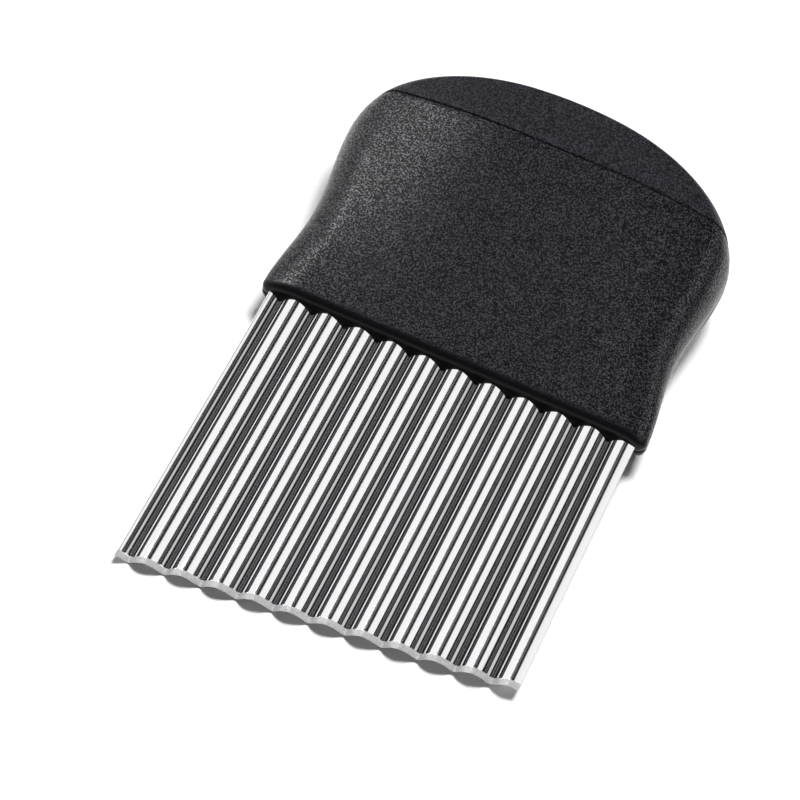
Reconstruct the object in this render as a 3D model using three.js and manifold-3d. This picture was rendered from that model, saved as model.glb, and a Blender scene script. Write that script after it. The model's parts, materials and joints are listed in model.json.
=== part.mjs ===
// Crinkle cutter: a corrugated steel blade clamped in a moulded palm handle.
// Millimetres. The tool is drawn with x across the blade, y from the tip up to the palm
// and z to the front, with zero at the middle of the handle's base. At the end it is laid
// on its back, so that it rests on its rear ridge and on the tip of the blade.

import * as THREE from 'three';
import { mergeVertices } from 'three/addons/utils/BufferGeometryUtils.js';
import Module from 'manifold-3d';

const wasm = await Module();
wasm.setup();

// Handle outline, seen from the front
const overallLength = 140; // long corner of the blade to the top of the dome
const handleHeight = 68;
const baseWidth = 89;
const waistWidth = 85.3;
const waistHeight = 22.4;
const palmWidth = 90;
const domeRise = 20.7; // widest line up to the top of the dome
const baseFillet = 2;

// Handle thickness, front to back
const baseThickness = 8.6;
const ridgeThickness = 32.4; // along the seam, where the handle is thickest
const topThickness = 32.2;
const seamDrop = 14.3; // top of the dome down to the seam
const faceDrop = 5; // how far each face has fallen away at the widest point
const landWidth = 20; // flat strip up the middle of each face
const sideRound = 8.3; // how far in from the outline the sides start to round
const domeRound = 1; // the same at the top of the dome
const domeSoftness = 3; // how far down the end of the dome its rounding reaches
const partingLand = 1; // straight edge on each side of the parting plane
const leastRound = 0.25; // a rounding never closes up altogether

// Shells and palm cap
const wall = 2;
const endWall = 3; // wall at the base, which holds the blade's slot
const partingGap = 0.3;
const seamGap = 0.3;
const ribThickness = 1.8;
const ribSpacing = 48;
const clampHeight = 18.5; // base up to the rib that clamps the tang
const spigotDepth = 6;
const spigotWall = 1.6;
const spigotClearance = 0.3;
const capLedge = 3; // solid ring of the cap above the seam, which carries the spigot

// Blade
const bladeWidth = 84.5;
const waveCount = 11;
const wavePitch = 7.62;
const firstRib = 6.28; // left edge to the top of the first whole rib
const runOut = 1.5; // straight strip at the right edge, where the last wave isn't finished
const ribSwing = 1.5; // main swing of the wave to each side
const ribBroadening = 0.25; // second swing: broad ribs with narrow grooves between them
const ribCrowning = 0.13; // third swing: rounder tops and straighter flanks
const sheet = 0.6;
const tipSlant = 9; // how much shorter the blade is on its right side
const tipLean = 0.25; // how much further the tip reaches for each millimetre of height
const bevelWidth = 1.4;
const edgeThickness = 0.2;
const shoulderDepth = 3; // full width of the blade inside the handle
const tangDepth = 24;
const tangCorner = 3;
const slotClearance = 0.3;

// Pegs moulded on the front shell, which pass through the tang into the rear shell
const pegCount = 3;
const pegSpacing = 24;
const pegHeight = 11;
const pegDiameter = 4.4;
const pegClearance = 0.3;
const bossWall = 1.6;

// Fineness of the facets
const filletSteps = 3;
const sideSteps = 10;
const domeSteps = 13;
const roundSteps = 5;
const faceSteps = 3;
const waveSteps = 16;
const rollSteps = 8;
const pegSides = 20;
const cornerSteps = 4;

const seamHeight = handleHeight - seamDrop;
const palmHeight = handleHeight - domeRise;
const bladeReach = overallLength - handleHeight;
const waveReach = ribSwing + ribCrowning; // middle of the sheet to a rib's top or a groove's floor
const tangWidth = bladeWidth - wavePitch; // half a wave narrower on each side
const slotReach = sheet / 2 + slotClearance; // slot wall to the middle of the sheet
const slotTop = waveReach + slotReach;
const far = overallLength + palmWidth; // reach of the cutting blocks
const weld = 1e-5; // corners closer than this are one
const { lerp } = THREE.MathUtils;

// Closed mesh of position only, as a solid that can be joined and cut
function solid(geometry) {
  const shape = geometry.clone();
  shape.deleteAttribute('normal');
  shape.deleteAttribute('uv');
  const merged = mergeVertices(shape, weld);
  const corners = [];
  for (let i = 0; i < merged.index.count; i += 3) {
    const [a, b, c] = [0, 1, 2].map((k) => merged.index.getX(i + k));
    if (a !== b && b !== c && c !== a) corners.push(a, b, c);
  }
  return new wasm.Manifold(new wasm.Mesh({
    numProp: 3,
    vertProperties: new Float32Array(merged.attributes.position.array),
    triVerts: new Uint32Array(corners),
  }));
}

function mesh(name, body, material) {
  const { numProp, vertProperties, triVerts } = body.getMesh();
  const geometry = new THREE.BufferGeometry();
  const points = new Float32Array((vertProperties.length / numProp) * 3);
  for (let i = 0; i < points.length / 3; i++) {
    points.set(vertProperties.subarray(i * numProp, i * numProp + 3), i * 3);
  }
  geometry.setAttribute('position', new THREE.BufferAttribute(points, 3));
  geometry.setIndex(new THREE.BufferAttribute(new Uint32Array(triVerts), 1));
  geometry.computeVertexNormals();
  const piece = new THREE.Mesh(geometry, material);
  piece.name = name;
  return piece;
}

// Block between two values on each axis
function block([x0, x1], [y0, y1], [z0, z1]) {
  const geometry = new THREE.BoxGeometry(x1 - x0, y1 - y0, z1 - z0);
  return solid(geometry.translate((x0 + x1) / 2, (y0 + y1) / 2, (z0 + z1) / 2));
}

// Upright round rod between two heights
function rod(diameter, x, y, [z0, z1]) {
  const geometry = new THREE.CylinderGeometry(diameter / 2, diameter / 2, z1 - z0, pegSides);
  return solid(geometry.rotateX(Math.PI / 2).translate(x, y, (z0 + z1) / 2));
}

const across = (halfWidth) => [-halfWidth, halfWidth];
const span = (y0, y1) => block(across(far), [y0, y1], across(far));

// Half width of the handle's side: full at the base, drawn in at the waist, full at the palm
function sideHalfWidth(y) {
  const low = y < waistHeight;
  const [from, to] = low ? [baseFillet, waistHeight] : [waistHeight, palmHeight];
  const ease = (1 - Math.cos(Math.PI * Math.max(y - from, 0) / (to - from))) / 2;
  return (low ? lerp(baseWidth, waistWidth, ease) : lerp(waistWidth, palmWidth, ease)) / 2;
}

// Fall of a face at x: none over the flat land, then a parabola out to the side
function fall(x) {
  const out = Math.max(Math.abs(x) - landWidth / 2, 0) / ((palmWidth - landWidth) / 2);
  return faceDrop * out * out;
}

// Half thickness of the body, a wedge from a flat base to the crowned ridge
function bodyFace(x, y) {
  const rise = y / seamHeight;
  return lerp(baseThickness, ridgeThickness, rise) / 2 - fall(x) * rise;
}

// Half thickness of the palm cap, from the ridge to the top of the dome
function capFace(x, y) {
  const rise = (y - seamHeight) / seamDrop;
  return lerp(ridgeThickness, topThickness, rise) / 2 - fall(x);
}

// Right half of the outline from base to dome: each row has a point, the direction inwards
// and how much the base fillet takes off there
function outlineRows(filleted) {
  const rows = [];
  const addSide = (y, fillet) => {
    rows.push({ x: sideHalfWidth(y) - fillet, y, nx: -1, ny: 0, fillet });
  };
  if (filleted) {
    for (let i = 0; i < filletSteps; i++) {
      const turn = (i / filletSteps) * (Math.PI / 2);
      addSide(baseFillet * (1 - Math.cos(turn)), baseFillet * (1 - Math.sin(turn)));
    }
  } else {
    addSide(0, 0);
  }
  for (let i = 0; i <= sideSteps; i++) addSide(lerp(baseFillet, palmHeight, i / sideSteps), 0);
  for (let i = 1; i <= domeSteps; i++) {
    const turn = (i / domeSteps) * (Math.PI / 2);
    const [c, s] = i < domeSteps ? [Math.cos(turn), Math.sin(turn)] : [0, 1];
    const steep = Math.hypot((2 * c) / palmWidth, s / domeRise);
    rows.push({
      x: (palmWidth / 2) * c,
      y: palmHeight + domeRise * s,
      nx: (-2 * c) / palmWidth / steep,
      ny: -s / domeRise / steep,
      fillet: 0,
    });
  }
  return rows;
}

// Front edge-to-edge line of one row: the rounding at the right, the face, and the left again
function frontLine(row, inset, face) {
  const upright = row.nx * row.nx; // 1 at the sides, 0 at the top of the dome
  const width = Math.max(lerp(domeRound, sideRound, upright) - inset, leastRound);
  const side = face(row.x, row.y) - row.fillet - partingLand;
  const height = Math.max(lerp(domeSoftness, side, upright) - inset, leastRound);
  const right = [];
  for (let k = 0; k <= roundSteps; k++) {
    const turn = (k / roundSteps) * (Math.PI / 2);
    const depth = inset + width * (1 - Math.cos(turn));
    const x = row.x + row.nx * depth;
    const y = row.y + row.ny * depth;
    const z = face(x, y) - row.fillet - inset - height * (1 - Math.sin(turn));
    right.push([Math.max(x, 0), y, z]);
  }
  const [innerX, innerY] = right[roundSteps];
  const land = Math.min(landWidth / 2, innerX / 2);
  for (let k = 1; k <= faceSteps; k++) {
    const x = lerp(innerX, land, k / faceSteps);
    right.push([x, innerY, face(x, innerY) - row.fillet - inset]);
  }
  const left = right.map(([x, y, z]) => [-x, y, z]).reverse();
  return [...right, ...left];
}

// Whole handle form, or its hollow when it is set in by a wall. Each row is a front line
// and its mirror image at the rear, and a flat end closes the base.
function handleForm(inset, face) {
  const lines = outlineRows(inset === 0).map((row) => frontLine(row, inset, face));
  const size = lines[0].length;
  const points = [];
  for (const line of lines) {
    for (const [x, y, z] of line) points.push(x, y, z);
    for (const [x, y, z] of line) points.push(x, y, -z);
  }
  const corner = (row, place, rear) => (2 * row + (rear ? 1 : 0)) * size + place;
  const index = [];
  const quad = (a, b, c, d) => index.push(a, b, c, a, c, d);
  for (let i = 0; i + 1 < lines.length; i++) {
    for (let j = 0; j + 1 < size; j++) {
      quad(corner(i, j, 0), corner(i + 1, j, 0), corner(i + 1, j + 1, 0), corner(i, j + 1, 0));
      quad(corner(i, j, 1), corner(i, j + 1, 1), corner(i + 1, j + 1, 1), corner(i + 1, j, 1));
    }
    quad(corner(i, 0, 1), corner(i + 1, 0, 1), corner(i + 1, 0, 0), corner(i, 0, 0));
    const end = size - 1;
    quad(corner(i, end, 0), corner(i + 1, end, 0), corner(i + 1, end, 1), corner(i, end, 1));
  }
  for (let j = 0; j + 1 < size; j++) {
    quad(corner(0, j, 1), corner(0, j, 0), corner(0, j + 1, 0), corner(0, j + 1, 1));
  }
  const geometry = new THREE.BufferGeometry();
  geometry.setAttribute('position', new THREE.Float32BufferAttribute(points, 3));
  geometry.setIndex(index);
  return solid(geometry);
}

// Height and slope of the blade's wave at x: three swings that share the pitch. It runs straight on
// over the last strip at the right edge.
function wave(x) {
  const waved = Math.min(x, bladeWidth / 2 - runOut);
  const strip = Math.min(x, bladeWidth / 2) - waved;
  const rate = (2 * Math.PI) / wavePitch;
  const turn = rate * (waved + bladeWidth / 2 - firstRib);
  const slope = -rate * (ribSwing * Math.sin(turn) - 2 * ribBroadening * Math.sin(2 * turn)
    + 3 * ribCrowning * Math.sin(3 * turn));
  const height = ribSwing * Math.cos(turn) + ribBroadening * (1 - Math.cos(2 * turn))
    + ribCrowning * Math.cos(3 * turn);
  return [height + slope * strip, slope];
}

// Point set off from the wave at x, along the wave's own normal
function waveOffset(x, offset) {
  const [height, slope] = wave(x);
  const length = Math.hypot(1, slope);
  return [x - (offset * slope) / length, height + offset / length];
}

// Slot wall at x, on the front or the rear: the reach of a disc that rolls along the wave, which
// clears the sheet evenly and doesn't cross itself in a groove
function slotWall(x, side) {
  let reach = -far;
  for (let i = -rollSteps; i <= rollSteps; i++) {
    const step = (slotReach * i) / rollSteps;
    const rise = Math.sqrt(slotReach * slotReach - step * step);
    reach = Math.max(reach, side * wave(x + step)[0] + rise);
  }
  return side * reach;
}

// Corrugated sheet from the slanted tip to the end of the tang, bevelled on both sides. The tip
// leans forward from the level of its long corner.
function bladeSheet() {
  const columns = waveCount * waveSteps;
  const [cornerLevel] = wave(-bladeWidth / 2);
  const rows = [
    { from: 0, half: edgeThickness / 2 },
    { from: bevelWidth, half: sheet / 2 },
    { from: null, half: sheet / 2 },
  ];
  const points = [];
  for (const { from, half } of rows) {
    for (const offset of [half, -half]) {
      for (let i = 0; i <= columns; i++) {
        const x = lerp(-bladeWidth / 2, bladeWidth / 2, i / columns);
        const [px, pz] = waveOffset(x, offset);
        const tip = -bladeReach + (tipSlant * i) / columns - tipLean * (pz - cornerLevel);
        points.push(px, from === null ? tangDepth : tip + from, pz);
      }
    }
  }
  const corner = (row, rear, i) => (2 * row + rear) * (columns + 1) + i;
  const index = [];
  const quad = (a, b, c, d) => index.push(a, b, c, a, c, d);
  const last = rows.length - 1;
  for (let i = 0; i < columns; i++) {
    for (let r = 0; r < last; r++) {
      quad(corner(r, 0, i), corner(r, 0, i + 1), corner(r + 1, 0, i + 1), corner(r + 1, 0, i));
      quad(corner(r, 1, i), corner(r + 1, 1, i), corner(r + 1, 1, i + 1), corner(r, 1, i + 1));
    }
    quad(corner(0, 1, i), corner(0, 1, i + 1), corner(0, 0, i + 1), corner(0, 0, i));
    quad(corner(last, 0, i), corner(last, 0, i + 1), corner(last, 1, i + 1), corner(last, 1, i));
  }
  for (let r = 0; r < last; r++) {
    quad(corner(r, 0, 0), corner(r + 1, 0, 0), corner(r + 1, 1, 0), corner(r, 1, 0));
    const end = columns;
    quad(corner(r, 1, end), corner(r + 1, 1, end), corner(r + 1, 0, end), corner(r, 0, end));
  }
  const geometry = new THREE.BufferGeometry();
  geometry.setAttribute('position', new THREE.Float32BufferAttribute(points, 3));
  geometry.setIndex(index);
  return solid(geometry);
}

// Block with a wavy floor, which follows the slot wall on the front or the rear of the blade
function waveBlock(side) {
  const reach = bladeWidth / 2 + wavePitch;
  const steps = (waveCount + 2) * waveSteps;
  const shape = new THREE.Shape();
  shape.moveTo(-reach, side * (slotTop + wall));
  for (let i = 0; i <= steps; i++) {
    const x = lerp(-reach, reach, i / steps);
    shape.lineTo(x, slotWall(x, side));
  }
  shape.lineTo(reach, side * (slotTop + wall));
  shape.closePath();
  const geometry = new THREE.ExtrudeGeometry(shape, { depth: 2 * far, bevelEnabled: false });
  return solid(geometry.rotateX(Math.PI / 2).translate(0, far, 0));
}

// Space round the blade inside the handle: full width at the mouth, then the tang. It ends
// halfway between the tang and the rib that stops it.
function bladeBay() {
  const height = across(slotTop + wall);
  const end = slotClearance / 2;
  const mouth = block(across(bladeWidth / 2 + slotReach), [-far, shoulderDepth + end], height);
  const tang = block(across(tangWidth / 2 + slotReach), [-far, tangDepth + end], height);
  return mouth.add(tang);
}

// Everything on one side of the parting, which is flat but follows the blade in its bay
function halfSpace(side) {
  const reach = side > 0 ? [partingGap / 2, far] : [-far, -partingGap / 2];
  const flat = block(across(far), across(far), reach);
  const bay = bladeBay();
  return flat.subtract(bay).add(waveBlock(side).intersect(bay));
}

const pegPlaces = Array.from({ length: pegCount }, (_, i) => (i - (pegCount - 1) / 2) * pegSpacing);
const pegFloor = (x) => wall - bodyFace(x, pegHeight); // inside of the rear wall at a peg

// Outside form, hollow and cross ribs that the two shells share
const bodyForm = handleForm(0, bodyFace).intersect(span(-far, seamHeight - seamGap / 2));
function shellHollow() {
  const stop = tangDepth + slotClearance;
  const ribEnd = seamHeight - spigotDepth - spigotClearance;
  let hollow = handleForm(wall, bodyFace)
    .subtract(span(-far, endWall))
    .subtract(span(clampHeight, clampHeight + ribThickness))
    .subtract(span(stop, stop + ribThickness));
  for (const x of [-ribSpacing / 2, ribSpacing / 2]) {
    const rib = [x - ribThickness / 2, x + ribThickness / 2];
    hollow = hollow.subtract(block(rib, [stop, ribEnd], across(far)));
  }
  return hollow;
}

// Boss round each peg, from the wall to the blade
const socketDiameter = pegDiameter + 2 * pegClearance;
const bossDiameter = socketDiameter + 2 * bossWall;
function withBosses(hollow, side) {
  const reach = side > 0 ? [slotTop, far] : [-far, -slotTop];
  return pegPlaces.reduce((left, x) => left.subtract(rod(bossDiameter, x, pegHeight, reach)), hollow);
}

function frontShell() {
  const shell = bodyForm.intersect(halfSpace(1)).subtract(withBosses(shellHollow(), 1));
  return pegPlaces.reduce((left, x) => {
    const reach = [pegFloor(x) + pegClearance, slotTop + bossWall];
    return left.add(rod(pegDiameter, x, pegHeight, reach));
  }, shell);
}

function rearShell() {
  const shell = bodyForm.intersect(halfSpace(-1)).subtract(withBosses(shellHollow(), -1));
  return pegPlaces.reduce((left, x) => {
    return left.subtract(rod(socketDiameter, x, pegHeight, [pegFloor(x), 0]));
  }, shell);
}

// Hollow cap over the open end of the shells, with a spigot that they close round
function palmCap() {
  const outside = wall + spigotClearance;
  const inside = outside + spigotWall;
  const ledge = seamHeight + capLedge;
  const cap = handleForm(0, capFace).intersect(span(seamHeight + seamGap / 2, far));
  const spigot = handleForm(outside, bodyFace).intersect(span(seamHeight - spigotDepth, ledge));
  const bore = handleForm(inside, bodyFace).intersect(span(-far, ledge));
  const hollow = handleForm(wall, capFace).intersect(span(ledge, far));
  return cap.add(spigot).subtract(bore).subtract(hollow);
}

// Blade with its tang stepped in and rounded, and a hole for each peg
function blade() {
  const outline = new THREE.Shape();
  const half = tangWidth / 2;
  outline.moveTo(-far, -far);
  outline.lineTo(far, -far);
  outline.lineTo(far, shoulderDepth);
  outline.lineTo(half, shoulderDepth);
  outline.lineTo(half, tangDepth - tangCorner);
  outline.absarc(half - tangCorner, tangDepth - tangCorner, tangCorner, 0, Math.PI / 2);
  outline.absarc(tangCorner - half, tangDepth - tangCorner, tangCorner, Math.PI / 2, Math.PI);
  outline.lineTo(-half, shoulderDepth);
  outline.lineTo(-far, shoulderDepth);
  outline.closePath();
  const options = { depth: 2 * far, bevelEnabled: false, curveSegments: cornerSteps };
  const cut = new THREE.ExtrudeGeometry(outline, options).translate(0, 0, -far);
  const plate = bladeSheet().intersect(solid(cut));
  return pegPlaces.reduce((left, x) => {
    return left.subtract(rod(socketDiameter, x, pegHeight, across(far)));
  }, plate);
}

const steel = new THREE.MeshStandardMaterial({ color: 0xc9cbce, roughness: 0.15, metalness: 1 });
const grained = new THREE.MeshStandardMaterial({ color: 0x2c2c2e, roughness: 0.6, metalness: 0 });
const smooth = new THREE.MeshStandardMaterial({ color: 0x2f2f31, roughness: 0.5, metalness: 0 });

const tool = new THREE.Group();
tool.add(mesh('blade', blade(), steel));
tool.add(mesh('front_shell', frontShell(), grained));
tool.add(mesh('rear_shell', rearShell(), grained));
tool.add(mesh('palm_cap', palmCap(), smooth));

// Laid on its back: turned until the rear ridge and the long corner of the tip are level,
// then set with the middle of its footprint on zero
const lift = ridgeThickness / 2 - waveReach - sheet / 2;
tool.rotation.x = Math.atan2(lift, seamHeight + bladeReach);
tool.updateMatrixWorld(true);
const reach = new THREE.Box3().setFromObject(tool, true);
tool.position.set(0, -(reach.min.y + reach.max.y) / 2, -reach.min.z);

const root = new THREE.Group();
root.add(tool);

export default root;
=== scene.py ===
import json
import math
from types import SimpleNamespace

import bmesh
import bpy
import numpy as np
from mathutils import Matrix, Vector


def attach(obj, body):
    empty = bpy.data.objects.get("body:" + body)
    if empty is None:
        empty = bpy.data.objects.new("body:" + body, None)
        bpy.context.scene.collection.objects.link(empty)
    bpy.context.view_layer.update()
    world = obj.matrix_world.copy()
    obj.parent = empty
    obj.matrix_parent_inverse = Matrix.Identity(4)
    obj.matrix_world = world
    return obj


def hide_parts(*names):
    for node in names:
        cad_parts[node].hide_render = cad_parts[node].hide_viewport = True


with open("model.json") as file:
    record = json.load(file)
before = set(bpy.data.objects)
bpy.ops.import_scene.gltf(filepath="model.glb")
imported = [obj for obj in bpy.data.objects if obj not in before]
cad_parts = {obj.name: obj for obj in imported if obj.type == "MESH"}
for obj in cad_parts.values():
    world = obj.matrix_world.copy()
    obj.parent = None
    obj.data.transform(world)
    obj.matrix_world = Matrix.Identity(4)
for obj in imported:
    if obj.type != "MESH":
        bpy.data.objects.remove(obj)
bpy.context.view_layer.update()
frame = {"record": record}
scene = bpy.context.scene
scene.view_settings.view_transform = "Standard"

# The tool's own frame, in millimetres: x across the blade, y from the tip to the palm, z to the front,
# with zero at the middle of the handle's base.
mmPerMetre = 1000
handle = dict(
    height=68.0, baseWidth=89.0, waistWidth=85.3, waistHeight=22.4,
    palmWidth=90.0, domeRise=20.7, baseFillet=2.0,
    baseThickness=8.6, ridgeThickness=32.4, topThickness=32.2, seamDrop=14.3,
    faceDrop=5.0, landWidth=20.0,              # flat strip up the middle, then the face falls away
    sideRound=8.3, domeRound=1.0, domeSoftness=3.0, partingLand=1.0, leastRound=0.25,
    wall=2.0, endWall=3.0, partingGap=0.3, seamGap=0.3,
    seamBreak=0.3, partingBreak=0.25,          # rounded edges along the joints
    spigotDepth=6.0, spigotClearance=0.3, spigotWall=1.3, spigotHollow=3.0,
    roundSteps=26, faceSteps=230, breakSteps=4, rowStep=0.7, innerRows=14, filletSteps=8,
    domeSteps=150, facetSteps=60, landSteps=5, facetCrowding=1.6, halvings=48,
    leastLean=1e-9, samePoint=1e-6,            # less than this counts as none
)
h = SimpleNamespace(**handle)
h.seamHeight = h.height - h.seamDrop
h.palmHeight = h.height - h.domeRise

blade = dict(
    reach=72.0, width=84.5, waveCount=11, pitch=7.62, firstRib=6.28, runOut=1.5,
    swing=1.5, broadening=0.25, crowning=0.13,   # broad ribs with narrow grooves between them
    sheet=0.6, tipSlant=9.0, tipLean=0.25, bevelWidth=1.4, edgeThickness=0.2, edgeBreak=0.1,
    bevelRows=(0, 0.25, 0.5, 0.75, 0.94, 1.0, 1.06, 1.5),   # rows from the edge, in bevel widths
    tangDepth=24.0, shoulderStart=3.5, shoulderEnd=9.5, slotClearance=0.3, slotEndGap=0.2,
    stepsPerWave=48, breakSteps=4, lengthSteps=32, shoulderSteps=12, rollSteps=41,
)
b = SimpleNamespace(**blade)
b.slotReach = b.sheet / 2 + b.slotClearance
b.tangWidth = b.width - b.pitch                # half a wave narrower on each side
b.waveReach = b.swing + b.crowning             # middle of the sheet to a rib's top or a groove's floor


# The value a given part of the way from start to end.
def lerp(start, end, part):
    return start + (end - start) * part


# Half width of the handle at height y: half a cosine in from the base to the waist, half a cosine
# out again to the palm line.
def sideHalfWidth(y):
    low = y < h.waistHeight
    start = np.where(low, h.baseFillet, h.waistHeight)
    end = np.where(low, h.waistHeight, h.palmHeight)
    ease = (1 - np.cos(np.pi * np.maximum(y - start, 0) / (end - start))) / 2
    narrowing = lerp(h.baseWidth, h.waistWidth, ease)
    widening = lerp(h.waistWidth, h.palmWidth, ease)
    return np.where(low, narrowing, widening) / 2


# How far the front falls from its flat strip: the square of the way out from the strip's edge.
def faceFall(x):
    out = np.maximum(np.abs(x) - h.landWidth / 2, 0) / ((h.palmWidth - h.landWidth) / 2)
    return h.faceDrop * out * out


# Front of the body: half the thickness, which grows from the base to the ridge, less the fall.
def bodyFace(x, y):
    rise = y / h.seamHeight
    return lerp(h.baseThickness, h.ridgeThickness, rise) / 2 - faceFall(x) * rise


# Front of the cap: half the thickness from the ridge to the top, less the fall.
def capFace(x, y):
    rise = (y - h.seamHeight) / h.seamDrop
    return lerp(h.ridgeThickness, h.topThickness, rise) / 2 - faceFall(x)


# Right half of the handle's outline. Along is the height up the side, and past the palm line it is
# the angle of the dome's quarter ellipse times the dome's rise. Gives the point and the inward normal.
def outline(along):
    turn = np.clip((along - h.palmHeight) / h.domeRise, 0, np.pi / 2)
    onSide = along < h.palmHeight
    x = np.where(onSide, sideHalfWidth(np.minimum(along, h.palmHeight)), h.palmWidth / 2 * np.cos(turn))
    y = np.where(onSide, along, h.palmHeight + h.domeRise * np.sin(turn))
    normalX = -np.cos(turn) / (h.palmWidth / 2)
    normalY = -np.sin(turn) / h.domeRise
    size = np.hypot(normalX, normalY)
    return x, y, normalX / size, normalY / size


# A point of the handle's front skin: from the outline it turns in over a quarter ellipse, wide and
# deep on the sides, small round the dome, and ends on the face. Inset is the depth under the skin,
# and fillet the base's rounding, which pulls the skin in from the side and from the face.
def skinPoint(along, turn, inset, fillet, face):
    x, y, normalX, normalY = outline(along)
    x = x - fillet
    upright = normalX * normalX
    width = np.maximum(lerp(h.domeRound, h.sideRound, upright) - inset, h.leastRound)
    side = face(x, y) - fillet - h.partingLand
    tall = np.maximum(lerp(h.domeSoftness, side, upright) - inset, h.leastRound)
    depth = inset + width * (1 - np.cos(turn))
    x = x + normalX * depth
    y = y + normalY * depth
    return x, y, face(x, y) - fillet - inset - tall * (1 - np.sin(turn))


# Sections of the front skin at given heights, from the right parting edge over the face to the left
# one. Where the dome leans in, the place along the outline is found by halving, for all points at once.
def bodySections(heights, inset, fillet):
    heights, inset, fillet = (v[:, None] for v in np.broadcast_arrays(heights, inset, fillet))
    turn = np.linspace(0, np.pi / 2, h.roundSteps)[None, :]
    low = np.zeros(np.broadcast_shapes(heights.shape, turn.shape))
    high = np.full_like(low, h.palmHeight + h.domeRise * np.pi / 2)
    for halving in range(h.halvings):
        middle = (low + high) / 2
        under = skinPoint(middle, turn, inset, fillet, bodyFace)[1] < heights
        low = np.where(under, middle, low)
        high = np.where(under, high, middle)
    sideX, _, sideZ = skinPoint(low, turn, inset, fillet, bodyFace)

    edge = np.linspace(0, np.pi / 2, h.breakSteps)[None, :]
    edgeX = sideX[:, :1] - h.partingBreak * (1 - np.sin(edge))
    edgeZ = h.partingGap / 2 + h.partingBreak * (1 - np.cos(edge)) + 0 * edgeX
    faceX = sideX[:, -1:] * np.linspace(1, -1, h.faceSteps)[None, 1:-1]
    faceZ = bodyFace(faceX, heights) - fillet - inset
    x = np.hstack([edgeX, sideX, faceX, -sideX[:, ::-1], -edgeX[:, ::-1]])
    z = np.hstack([edgeZ, sideZ, faceZ, sideZ[:, ::-1], edgeZ[:, ::-1]])
    return np.stack([x, np.broadcast_to(heights, x.shape), z], -1)


# Height and slope of the sheet's wave: three swings that share the pitch, and a straight run over the
# last strip at the right edge.
def wave(x):
    waved = np.minimum(x, b.width / 2 - b.runOut)
    strip = np.minimum(x, b.width / 2) - waved
    rate = 2 * np.pi / b.pitch
    turn = rate * (waved + b.width / 2 - b.firstRib)
    height = (b.swing * np.cos(turn) + b.broadening * (1 - np.cos(2 * turn))
              + b.crowning * np.cos(3 * turn))
    slope = -rate * (b.swing * np.sin(turn) - 2 * b.broadening * np.sin(2 * turn)
                     + 3 * b.crowning * np.sin(3 * turn))
    return height + slope * strip, slope


# A point set off from the wave along the wave's own normal.
def waveOffset(x, offset):
    height, slope = wave(x)
    length = np.hypot(1, slope)
    return x - offset * slope / length, height + offset / length


# The slot's wall in front of the sheet (side 1) or behind it (-1): how far a disc reaches that rolls
# along the wave.
def slotWall(x, side):
    step = np.linspace(-b.slotReach, b.slotReach, b.rollSteps)[:, None]
    reach = side * wave(x[None, :] + step)[0] + np.sqrt(b.slotReach ** 2 - step ** 2)
    return side * reach.max(axis=0)


# How the tool lies on the table: on the ridge of its back and the blade's tip. The record's mount is
# a known point of the back, so it gives where the tool's frame is in the shared one.
mountHeight = 27.0
restTilt = math.atan2(h.ridgeThickness / 2 - b.waveReach - b.sheet / 2, h.seamHeight + b.reach)
turnToRow = np.array(Matrix.Rotation(restTilt, 3, "X"))
backPoint = np.array([0, mountHeight, -bodyFace(0, mountHeight)])
toolPlace = np.array(frame["record"]["mounts"][0]["pos_m"]) - turnToRow @ backPoint / mmPerMetre


# Tool points to the shared frame: turned by the tilt, brought to metres, moved to the tool's place.
def toRow(points):
    return points.reshape(-1, 3) @ turnToRow.T / mmPerMetre + toolPlace


# Quads between neighbours of a grid of vertex numbers.
def gridFaces(index):
    corners = [index[:-1, :-1], index[:-1, 1:], index[1:, 1:], index[1:, :-1]]
    return np.stack(corners, -1).reshape(-1, 4).tolist()


meshing = dict(mergeWithin=1e-7, dropUnder=1e-8, sharpAngle=35)   # metres, metres, degrees


# Makes a piece of points and faces: doubles merged, faces outwards, smooth but for its sharp edges.
# Mirrored says whether the blade shows the piece in its gloss.
def addPiece(name, points, faces, node, material, mirrored=True):
    mesh = bpy.data.meshes.new(name)
    mesh.from_pydata(toRow(points).tolist(), [], faces)
    shape = bmesh.new()
    shape.from_mesh(mesh)
    bmesh.ops.remove_doubles(shape, verts=shape.verts, dist=meshing["mergeWithin"])
    bmesh.ops.dissolve_degenerate(shape, edges=shape.edges, dist=meshing["dropUnder"])
    bmesh.ops.recalc_face_normals(shape, faces=shape.faces)
    shape.to_mesh(mesh)
    shape.free()
    mesh.shade_smooth()
    mesh.set_sharp_from_angle(angle=math.radians(meshing["sharpAngle"]))
    mesh.materials.append(material)
    piece = bpy.data.objects.new(name, mesh)
    scene.collection.objects.link(piece)
    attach(piece, "root")
    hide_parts(node)
    piece.visible_glossy = mirrored
    print(name, len(mesh.vertices), "vertices", len(mesh.polygons), "faces")


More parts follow.
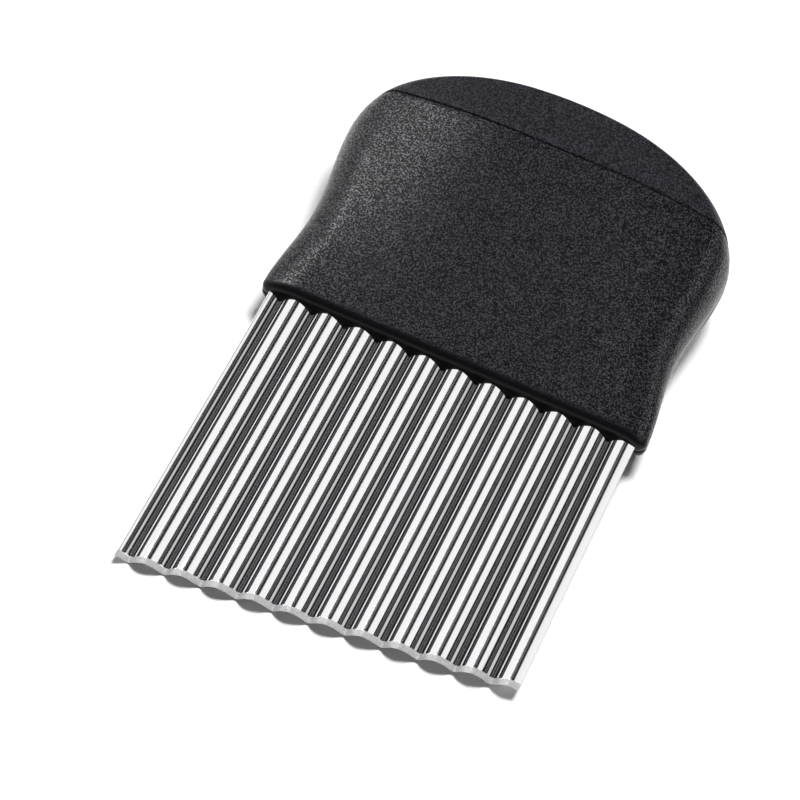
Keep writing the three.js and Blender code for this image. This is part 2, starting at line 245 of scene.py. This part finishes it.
# One socket of a material's nodes. Sums on it add Math nodes, and make adds any other node.
class Wire:
    def __init__(self, tree, socket=None):
        self.tree = tree
        self.socket = socket

    # Type, settings, sockets by name or number, and which output to hand back
    def make(self, kind, settings, sockets, output=0):
        node = self.tree.nodes.new(kind)
        for name, value in settings.items():
            setattr(node, name, value)
        for name, value in sockets.items():
            if isinstance(value, Wire):
                self.tree.links.new(value.socket, node.inputs[name])
            else:
                node.inputs[name].default_value = value
        return Wire(self.tree, node.outputs[output] if node.outputs else None)

    def sum(self, operation, *terms):
        return self.make("ShaderNodeMath", {"operation": operation}, dict(enumerate(terms)))

    def __add__(self, other):
        return self.sum("ADD", self, other)

    def __radd__(self, other):
        return self.sum("ADD", other, self)

    def __sub__(self, other):
        return self.sum("SUBTRACT", self, other)

    def __rsub__(self, other):
        return self.sum("SUBTRACT", other, self)

    def __mul__(self, other):
        return self.sum("MULTIPLY", self, other)

    def __rmul__(self, other):
        return self.sum("MULTIPLY", other, self)

    def __abs__(self):
        return self.sum("ABSOLUTE", self)

    # 0 below the first value, 1 above the second, an S curve between
    def ease(self, start, end):
        return self.make("ShaderNodeMapRange", {"interpolation_type": "SMOOTHSTEP"},
                         {"Value": self, "From Min": start, "From Max": end})

    # A smooth noise of lumps about 1 / scale wide, with finer ones added by the detail
    def noise(self, place, scale, detail):
        return self.make("ShaderNodeTexNoise", {}, {"Vector": place, "Scale": scale, "Detail": detail})

    # The first colour where the factor is 0, the second where it is 1
    def mix(self, factor, first, second):
        return self.make("ShaderNodeMix", {"data_type": "RGBA"}, {0: factor, 6: first, 7: second}, 2)


# An empty material and a wire to make its nodes with
def startMaterial(name):
    material = bpy.data.materials.new(name)
    material.use_nodes = True
    material.node_tree.nodes.clear()
    return material, Wire(material.node_tree)


# The tool's frame in metres, from Object coordinates
def toolCoords(wire):
    place = wire.make("ShaderNodeTexCoord", {}, {}, "Object")
    place = wire.make("ShaderNodeMapping", {"vector_type": "TEXTURE"},
                      {"Vector": place, "Location": toolPlace, "Rotation": (restTilt, 0, 0)})
    parts = [wire.make("ShaderNodeSeparateXYZ", {}, {"Vector": place}, axis) for axis in range(3)]
    return place, parts


# Links the finished shader to the material's output
def finishMaterial(wire, shader):
    wire.make("ShaderNodeOutputMaterial", {}, {"Surface": shader})


plastic = dict(
    pits=(0.0022, 0.0021, 0.0026), tops=(0.048, 0.0458, 0.0562),   # colour low and high in the grain
    pebbleSize=0.00036, pebbleDepth=0.00015, pebbleStrength=0.5, pebbleEase=(0.42, 0.72),
    plainTone=0.27, baseTone=0.06,             # where the grain fades out, and the painted shade on the base's edge
    roughness=0.3, specular=0.18, coatRoughness=0.2, coatOnTops=1.0,
    cloudScale=60, cloudDetail=3.0, cloudGloss=0.08,
    # the base's edge is smooth and painted dark as shade up to the first of the base heights, and
    # grained above the second
    grainStart=0.0006, grainFull=0.003, smoothBase=0.001, grainBase=0.0026,
    dullStart=0.0002, dullEnd=0.0005, dulling=0.65,   # the matt faces of the joints
)


# Roughness of a moulded face: the plain value with a faint cloud about it, and more in the joints.
def mouldedGloss(wire, p, place, joint):
    cloud = wire.noise(place, p.cloudScale, p.cloudDetail)
    return p.roughness - p.cloudGloss / 2 + p.cloudGloss * cloud + p.dulling * joint


# Black plastic with a pebbled grain: one noise, whose tops are paler, glossier and stand out as bump.
# It fades out at the parting line and on the base's edge, whose darker colour is painted shade, and the
# faces in the joints are matt.
def grainedPlastic():
    p = SimpleNamespace(**plastic)
    material, w = startMaterial("grainedPlastic")
    place, (_, y, z) = toolCoords(w)
    raised = w.noise(place, 1 / p.pebbleSize, 0.0).ease(*p.pebbleEase)
    # painted shade: over the base's fillet and end wall the colour goes down to the base's dark tone,
    # and the grain fades out there too
    clearOfBaseShade = y.ease(p.smoothBase, p.grainBase)
    grained = clearOfBaseShade * abs(z).ease(p.grainStart, p.grainFull)
    plainAndBaseShade = p.baseTone + (p.plainTone - p.baseTone) * clearOfBaseShade
    tops = raised * grained + plainAndBaseShade * (1 - grained)
    fromJoint = w.sum("MINIMUM", abs(z), h.seamHeight / mmPerMetre - y)
    joint = 1 - fromJoint.ease(p.dullStart, p.dullEnd)
    rough = mouldedGloss(w, p, place, joint)
    colour = w.mix(tops, (*p.pits, 1), (*p.tops, 1))
    bump = w.make("ShaderNodeBump", {}, {"Height": raised * grained, "Strength": p.pebbleStrength,
                                         "Distance": p.pebbleDepth})
    shader = w.make("ShaderNodeBsdfPrincipled", {}, {
        "Base Color": colour, "Roughness": rough, "Normal": bump,
        "Specular IOR Level": p.specular,
        "Coat Weight": p.coatOnTops * tops * (1 - joint), "Coat Roughness": p.coatRoughness})
    finishMaterial(w, shader)
    return material


capPlastic = dict(
    pits=(0.006, 0.0057, 0.007), tops=(0.043, 0.041, 0.05),
    grainSize=0.0004, grainDepth=0.00006, grainStrength=0.5, grainEase=(0.34, 0.74),
    roughness=0.4, specular=0.2, cloudScale=70, cloudDetail=3.0, cloudGloss=0.08,
    dullStart=0.0002, dullEnd=0.0005, dulling=0.55,
)


# The cap's satin black: a flatter and fainter grain, a slight cloud in the gloss, and matt at the seam.
def satinPlastic():
    p = SimpleNamespace(**capPlastic)
    material, w = startMaterial("satinPlastic")
    place, (_, y, _) = toolCoords(w)
    fine = w.noise(place, 1 / p.grainSize, 0.0)
    bump = w.make("ShaderNodeBump", {}, {"Height": fine, "Strength": p.grainStrength,
                                         "Distance": p.grainDepth})
    joint = 1 - (y - h.seamHeight / mmPerMetre).ease(p.dullStart, p.dullEnd)
    rough = mouldedGloss(w, p, place, joint)
    colour = w.mix(fine.ease(*p.grainEase), (*p.pits, 1), (*p.tops, 1))
    shader = w.make("ShaderNodeBsdfPrincipled", {},
                    {"Base Color": colour, "Roughness": rough, "Normal": bump,
                     "Specular IOR Level": p.specular})
    finishMaterial(w, shader)
    return material


steel = dict(
    colour=(0.9, 0.89, 0.905), roughness=0.02,
    streakSize=0.0002, streakLength=0.02, streakGloss=0.03,
    cloudScale=120, cloudGloss=0.03, fineDetail=3.0,
    rubbed=0.12, rubbedFrom=(0.001, 0.0018),   # the tops of the ribs are a little dulled
    groundSize=0.0003, groundDetail=2.0, groundDepth=0.00004, groundStrength=0.4,
    groundRoughness=0.45, groundUneven=0.1, groundMetal=0.4, groundEdge=0.0001,
    groundPale=0.8, groundDim=0.6, groundEase=(0.4, 0.65),
)


# Polished steel: drawn streaks along the blade in the gloss, a brighter coarse-ground bevel at the
# tip, found by its distance from the slanted edge.
def polishedSteel():
    p = SimpleNamespace(**steel)
    material, w = startMaterial("polishedSteel")
    place, (x, y, z) = toolCoords(w)
    stretched = w.make("ShaderNodeMapping", {}, {
        "Vector": place, "Scale": (1 / p.streakSize, 1 / p.streakLength, 1 / p.streakSize)})
    streaks = w.noise(stretched, 1.0, p.fineDetail)
    clouds = w.noise(place, p.cloudScale, p.fineDetail)
    corner = wave(-b.width / 2)[0] / mmPerMetre
    fromLeft = x + b.width / 2 / mmPerMetre
    tip = fromLeft * (b.tipSlant / b.width) - b.reach / mmPerMetre - b.tipLean * (z - corner)
    bevel = b.bevelWidth / mmPerMetre
    ground = 1 - (y - tip).ease(bevel - p.groundEdge, bevel)
    scratches = w.noise(place, 1 / p.groundSize, p.groundDetail)
    rough = p.roughness + p.streakGloss * streaks + p.cloudGloss * clouds
    rough = rough + p.rubbed * z.ease(*p.rubbedFrom)
    rough = rough + ground * (p.groundRoughness - p.roughness + p.groundUneven * scratches)
    bump = w.make("ShaderNodeBump", {}, {"Height": ground * scratches, "Strength": p.groundStrength,
                                         "Distance": p.groundDepth})
    pale, dim = ((*[level * tone for tone in p.colour], 1) for level in (p.groundPale, p.groundDim))
    colour = w.mix(ground, (*p.colour, 1), w.mix(scratches.ease(*p.groundEase), pale, dim))
    shader = w.make("ShaderNodeBsdfPrincipled", {}, {
        "Base Color": colour, "Metallic": 1 - (1 - p.groundMetal) * ground,
        "Roughness": rough, "Normal": bump})
    finishMaterial(w, shader)
    return material


# A handle shell: sections of the skin from the seam's rounded rim down over the base's fillet, the
# end wall in to the wavy slot, the slot's lip, then the inside of the wall back up to the seam.
# Side is 1 for the front shell and -1 for the rear one, which is its mirror but for the slot.
def makeShell(name, side, node, material):
    seam = h.seamHeight - h.seamGap / 2
    rim = np.linspace(np.pi / 2, 0, h.breakSteps)
    down = np.linspace(seam - h.seamBreak, h.baseFillet, int(seam / h.rowStep))[1:-1]
    toe = np.linspace(np.pi / 2, 0, h.filletSteps)
    rimDrop = h.seamBreak * (1 - np.sin(rim))
    toeRise = h.baseFillet * (1 - np.cos(toe))
    heights = np.concatenate([seam - rimDrop, down, toeRise])
    inset = np.concatenate([h.seamBreak * (1 - np.cos(rim)), 0 * down, 0 * toe])
    fillet = np.concatenate([0 * rim, 0 * down, h.baseFillet * (1 - np.sin(toe))])
    outside = bodySections(heights, inset, fillet)
    inside = bodySections(np.linspace(h.endWall, seam, h.innerRows), np.full(h.innerRows, h.wall), 0.0)

    half = b.width / 2 + b.slotEndGap
    slotX = np.clip(outside[-1, :, 0], -half, half)
    slotZ = side * slotWall(slotX, side)
    step = np.linspace(0, 1, h.breakSteps)
    slotX[:h.breakSteps] = half
    slotX[-h.breakSteps:] = -half
    slotZ[:h.breakSteps] = lerp(h.partingGap / 2, slotZ[h.breakSteps], step)
    slotZ[-h.breakSteps:] = lerp(slotZ[-h.breakSteps - 1], h.partingGap / 2, step)
    lip = [np.stack([slotX, np.full_like(slotX, y), slotZ], -1)[None] for y in (0.0, h.endWall)]

    points = np.concatenate([outside, *lip, inside]) * (1, 1, side)
    rows, columns = points.shape[:2]
    index = np.arange(rows * columns).reshape(rows, columns)
    faces = gridFaces(np.vstack([index, index[:1]]))
    faces += [index[:, 0].tolist(), index[::-1, -1].tolist()]   # the parting faces
    addPiece(name, points, faces, node, material, mirrored=False)


# The palm cap: meridians from the middle of the dome's end wall over its rounding and down the facet
# to the seam, mirrored to all four quarters, then the rounded rim, the ring that faces the shells and
# a hollow spigot, each a copy of the seam's line moved in along its own normal.
def makeCap(name, node, material):
    seam = h.seamHeight + h.seamGap / 2
    rimHeight = seam + h.seamBreak
    first = math.asin((rimHeight - h.palmHeight) / h.domeRise)
    along = h.palmHeight + h.domeRise * np.linspace(first, np.pi / 2, h.domeSteps)[:, None]
    wallX, wallY, wallZ = skinPoint(along, 0.0, 0.0, 0.0, capFace)
    innerY = skinPoint(along, np.pi / 2, 0.0, 0.0, capFace)[1]
    lean = np.maximum(wallY - innerY, h.leastLean)
    shown = np.clip((wallY - rimHeight) / lean, 0, 1)           # part of the rounding above the rim
    lastTurn = np.arccos(1 - shown)
    upright = outline(along)[2] ** 2
    roundWidth = lerp(h.domeRound, h.sideRound, upright)
    roundDepth = lerp(h.domeSoftness, h.sideRound, upright)
    roundLength = np.hypot(roundWidth, roundDepth)
    length = roundLength * lastTurn / (np.pi / 2) + np.maximum(innerY - rimHeight, 0)
    way = length * np.linspace(0, 1, h.facetSteps)[None, 1:] ** h.facetCrowding
    turn = np.minimum(way / roundLength * np.pi / 2, lastTurn)
    drop = np.maximum(way - roundLength * lastTurn / (np.pi / 2), 0)
    x, y, z = skinPoint(along, turn, 0.0, 0.0, capFace)
    z = z + capFace(x, y - drop) - capFace(x, y)
    y = y - drop
    land = np.linspace(0, 1, h.landSteps)[None, :]
    quarter = np.stack([np.hstack([wallX + 0 * land, x]), np.hstack([wallY + 0 * land, y]),
                        np.hstack([wallZ * land, z])], -1)
    rightHalf = np.hstack([quarter[:, :0:-1] * (1, 1, -1), quarter])
    skin = np.vstack([rightHalf, rightHalf[-2::-1] * (-1, 1, 1)])
    index = np.arange(skin.shape[0] * skin.shape[1]).reshape(skin.shape[:2])

    loop = np.concatenate([index[:, -1], index[-1, ::-1], index[::-1, 0], index[0, :]])
    line = skin.reshape(-1, 3)[loop]
    apart = np.linalg.norm(line - np.roll(line, 1, axis=0), axis=1) > h.samePoint
    loop, line = loop[apart], line[apart]
    tangent = np.roll(line, -1, axis=0) - np.roll(line, 1, axis=0)
    inward = np.stack([tangent[:, 2], 0 * tangent[:, 0], -tangent[:, 0]], -1)
    inward /= np.linalg.norm(inward, axis=1)[:, None]
    inward *= -np.sign((inward * line * (1, 0, 1)).sum())

    rim = np.linspace(0, np.pi / 2, h.breakSteps)[1:]
    spigot = h.wall + h.spigotClearance
    foot = h.seamHeight - h.spigotDepth
    taper = bodyFace(0, foot) - bodyFace(0, h.seamHeight)
    rings = [(h.seamBreak * (1 - math.cos(a)), rimHeight - h.seamBreak * math.sin(a), 0.0) for a in rim]
    rings += [(spigot, seam, 0.0), (spigot, foot, taper), (spigot + h.spigotWall, foot, taper),
              (spigot + h.spigotWall, seam + h.spigotHollow, 0.0)]
    points = [skin.reshape(-1, 3)]
    loops = [loop]
    for inset, height, pinch in rings:
        ring = line + inward * inset
        ring[:, 1] = height
        ring[:, 2] *= 1 + pinch / h.ridgeThickness * 2
        loops.append(sum(len(part) for part in points) + np.arange(len(line)))
        points.append(ring)
    loops = np.array(loops)
    faces = gridFaces(index) + gridFaces(np.hstack([loops, loops[:, :1]])) + [loops[-1].tolist()]
    addPiece(name, np.concatenate(points), faces, node, material)


# The blade: its wave carried from the slanted tip to the end of the tang. Front and back are cut back
# by the bevel towards a thin edge at the middle of the sheet, the two side edges are slightly rounded,
# and inside the handle the sheet narrows over two shoulders to the tang.
def makeBlade(name, node, material):
    corner = np.linspace(np.pi / 2, 0, b.breakSteps)
    edge = b.width / 2 - b.edgeBreak * (1 - np.sin(corner))
    thin = b.sheet / 2 - b.edgeBreak * (1 - np.cos(corner))
    middle = np.linspace(-edge[-1], edge[-1], b.waveCount * b.stepsPerWave)[1:-1]
    x = np.concatenate([-edge, middle, edge[::-1]])[None, :]
    halfSheet = np.concatenate([thin, np.full_like(middle, b.sheet / 2), thin[::-1]])[None, :]

    ground = np.array(b.bevelRows) * b.bevelWidth
    out = np.linspace(0, 1, b.lengthSteps)[1:]
    inside = np.append(np.linspace(b.shoulderStart, b.shoulderEnd, b.shoulderSteps), b.tangDepth)
    part = np.concatenate([0 * ground, out, 0 * inside + 1])[:, None]
    fromTip = np.concatenate([ground, 0 * out + ground[-1], 0 * inside + ground[-1]])[:, None]
    deep = np.concatenate([0 * ground, 0 * out, inside])[:, None]
    shoulder = np.clip((deep - b.shoulderStart) / (b.shoulderEnd - b.shoulderStart), 0, 1)
    narrow = lerp(1, b.tangWidth / b.width, shoulder)
    limit = lerp(b.edgeThickness / 2, b.sheet / 2, np.minimum(fromTip / b.bevelWidth, 1))
    offset = np.minimum(halfSheet, limit)
    cornerLevel = wave(-b.width / 2)[0]

    def surface(offset):
        px, pz = waveOffset(x * narrow, offset)
        tip = -b.reach + b.tipSlant * (x + b.width / 2) / b.width - b.tipLean * (pz - cornerLevel)
        return np.stack([px, lerp(tip + fromTip, 0.0, part) + deep, pz], -1)

    points = np.concatenate([surface(offset), surface(-offset)[::-1]])
    rows, columns = points.shape[:2]
    index = np.arange(rows * columns).reshape(rows, columns)
    faces = gridFaces(np.vstack([index, index[:1]]))
    faces += [index[:, 0].tolist(), index[::-1, -1].tolist()]   # the side edges
    addPiece(name, points, faces, node, material)


grained = grainedPlastic()
makeShell("frontShell", 1, "front_shell", grained)
makeShell("rearShell", -1, "rear_shell", grained)
makeCap("palmCap", "palm_cap", satinPlastic())
makeBlade("waveBlade", "blade", polishedSteel())
print("pieces made")

studio = dict(
    floorSize=6.0, floorColour=0.8, floorToCamera=1.1, paperFade=(0.16, 0.4), ambient=0.08,
    ceilingHeight=0.91, ceilingLeft=-0.78, ceilingRight=0.82, ceilingFront=-0.7, ceilingBack=1.8,
    ceilingDim=0.02, ceilingBright=0.28, patchMiddle=0.01, patchReach=0.15,
    shoulderLevel=0.7, shoulderFade=(-0.55, -0.47),
    glowHeight=0.9, glowLeft=-1.2, glowRight=0.8, glowFront=-0.1, glowBack=(0.26, 0.2),
    glowLevel=9.0, glowFade=(-0.56, -0.18), glowDim=0.02,
    screenPlace=0.5, screenHeight=0.235, screenFront=-0.3, screenBack=1.2, screenTone=0.02,
    frontPlace=-0.8, frontHalfWidth=1.2, frontLow=0.1, frontHigh=1.4, frontTone=0.03,
)


# 1 for what the camera sees, straight or in gloss and glass
def shownRays(wire):
    kinds = ("Is Camera Ray", "Is Glossy Ray", "Is Transmission Ray")
    camera, gloss, glass = (wire.make("ShaderNodeLightPath", {}, {}, kind) for kind in kinds)
    return wire.sum("MAXIMUM", wire.sum("MAXIMUM", camera, gloss), glass)


# Pale floor: plain white to the light, a little paler to the camera, so that it reads as white paper
# and keeps the shadow under the tool. Far from the tool it runs out into plain white.
def makeFloor():
    s = SimpleNamespace(**studio)
    half = s.floorSize / 2
    mesh = bpy.data.meshes.new("floor")
    corners = [(-half, -half, 0), (half, -half, 0), (half, half, 0), (-half, half, 0)]
    mesh.from_pydata(corners, [], [(0, 1, 2, 3)])
    material, w = startMaterial("whitePaper")
    shown = shownRays(w)
    tone = w.mix(shown, (*[s.floorColour] * 3, 1), (*[s.floorToCamera] * 3, 1))
    place = w.make("ShaderNodeTexCoord", {}, {}, "Object")
    away = w.make("ShaderNodeVectorMath", {"operation": "LENGTH"}, {0: place}, "Value")
    paper = w.make("ShaderNodeBsdfDiffuse", {}, {"Color": tone})
    white = w.make("ShaderNodeEmission", {}, {"Strength": 1.0})
    far = shown * away.ease(*s.paperFade)
    finishMaterial(w, w.make("ShaderNodeMixShader", {}, {0: far, 1: paper, 2: white}))
    mesh.materials.append(material)
    floor = bpy.data.objects.new("floor", mesh)
    scene.collection.objects.link(floor)


# A card that only reflections see: a flat quad and its glow
def addCard(name, corners, wire, material, level):
    mesh = bpy.data.meshes.new(name)
    mesh.from_pydata(corners, [], [(0, 1, 3, 2)])
    finishMaterial(wire, wire.make("ShaderNodeEmission", {}, {"Strength": level}))
    mesh.materials.append(material)
    card = bpy.data.objects.new(name, mesh)
    scene.collection.objects.link(card)
    card.visible_camera = False
    card.visible_diffuse = False
    card.visible_shadow = False


# Place across the studio, in metres from the middle
def acrossCard(wire):
    place = wire.make("ShaderNodeTexCoord", {}, {}, "Object")
    return wire.make("ShaderNodeSeparateXYZ", {}, {"Vector": place}, 0)


# What the tool mirrors: a dark ceiling with a paler patch and a paler left end, for the blade; a lower
# sheet that glows to the left, for the handle's face; a low dark screen on the right; the dark front
# where the camera stands.
def makeCards():
    s = SimpleNamespace(**studio)
    material, w = startMaterial("darkCeiling")
    across = acrossCard(w)
    patch = 1 - abs(across - s.patchMiddle).ease(0.0, s.patchReach)
    shoulder = s.shoulderLevel * (1 - across.ease(*s.shoulderFade))
    corners = [(x, y, s.ceilingHeight) for x in (s.ceilingLeft, s.ceilingRight)
               for y in (s.ceilingFront, s.ceilingBack)]
    addCard("ceiling", corners, w, material, s.ceilingDim + s.ceilingBright * patch + shoulder)

    material, w = startMaterial("leftGlow")
    glow = s.glowLevel * (1 - acrossCard(w).ease(*s.glowFade))
    corners = [(x, y, s.glowHeight) for x, back in zip((s.glowLeft, s.glowRight), s.glowBack)
               for y in (s.glowFront, back)]
    addCard("glow", corners, w, material, s.glowDim + glow)

    material, w = startMaterial("darkScreen")
    corners = [(s.screenPlace, y, z) for y in (s.screenFront, s.screenBack)
               for z in (0, s.screenHeight)]
    addCard("screen", corners, w, material, s.screenTone)

    material, w = startMaterial("darkFront")
    corners = [(x, s.frontPlace, z) for x in (-s.frontHalfWidth, s.frontHalfWidth)
               for z in (s.frontLow, s.frontHigh)]
    addCard("front", corners, w, material, s.frontTone)


# White surroundings, seen as plain white by the camera and in reflections, and dimmer as light
def makeWorld():
    world = bpy.data.worlds.new("whiteRoom")
    world.use_nodes = True
    world.node_tree.nodes.clear()
    w = Wire(world.node_tree)
    level = studio["ambient"] + (1 - studio["ambient"]) * shownRays(w)
    background = w.make("ShaderNodeBackground", {}, {"Color": (1, 1, 1, 1), "Strength": level})
    w.make("ShaderNodeOutputWorld", {}, {"Surface": background})
    scene.world = world


topBox = dict(place=(0.12, 0.04, 0.95), size=0.28, watts=9.4)


# One soft lamp overhead, which the gloss doesn't show
def makeLamp():
    light = bpy.data.lights.new("topBox", "AREA")
    light.shape = "DISK"
    light.size = topBox["size"]
    light.energy = topBox["watts"]
    place = Vector(topBox["place"])
    lamp = bpy.data.objects.new("topBox", light)
    lamp.matrix_world = Matrix.Translation(place) @ place.to_track_quat("Z", "Y").to_matrix().to_4x4()
    lamp.visible_glossy = False
    scene.collection.objects.link(lamp)


view = dict(azimuth=13.273, elevation=50.7935, roll=12.9208, lens=130.989, sensor=36.0,
            target=(-0.005834, -0.012446, 0.012), distance=0.606086)


# The camera looks at the target from the given angles, turned about its own axis by the roll.
def makeCamera():
    v = SimpleNamespace(**view)
    a, e, r = (math.radians(angle) for angle in (v.azimuth, v.elevation, v.roll))
    back = Vector((math.sin(a) * math.cos(e), -math.cos(a) * math.cos(e), math.sin(e)))
    levelRight = Vector((math.cos(a), math.sin(a), 0))
    levelUp = back.cross(levelRight)
    right = math.cos(r) * levelRight + math.sin(r) * levelUp
    up = math.cos(r) * levelUp - math.sin(r) * levelRight
    data = bpy.data.cameras.new("camera")
    data.lens = v.lens
    data.sensor_width = v.sensor
    camera = bpy.data.objects.new("camera", data)
    place = Vector(v.target) + back * v.distance
    camera.matrix_world = Matrix.Translation(place) @ Matrix((right, up, back)).transposed().to_4x4()
    scene.collection.objects.link(camera)
    scene.camera = camera


makeFloor()
makeCards()
makeWorld()
makeLamp()
makeCamera()
print("studio made")
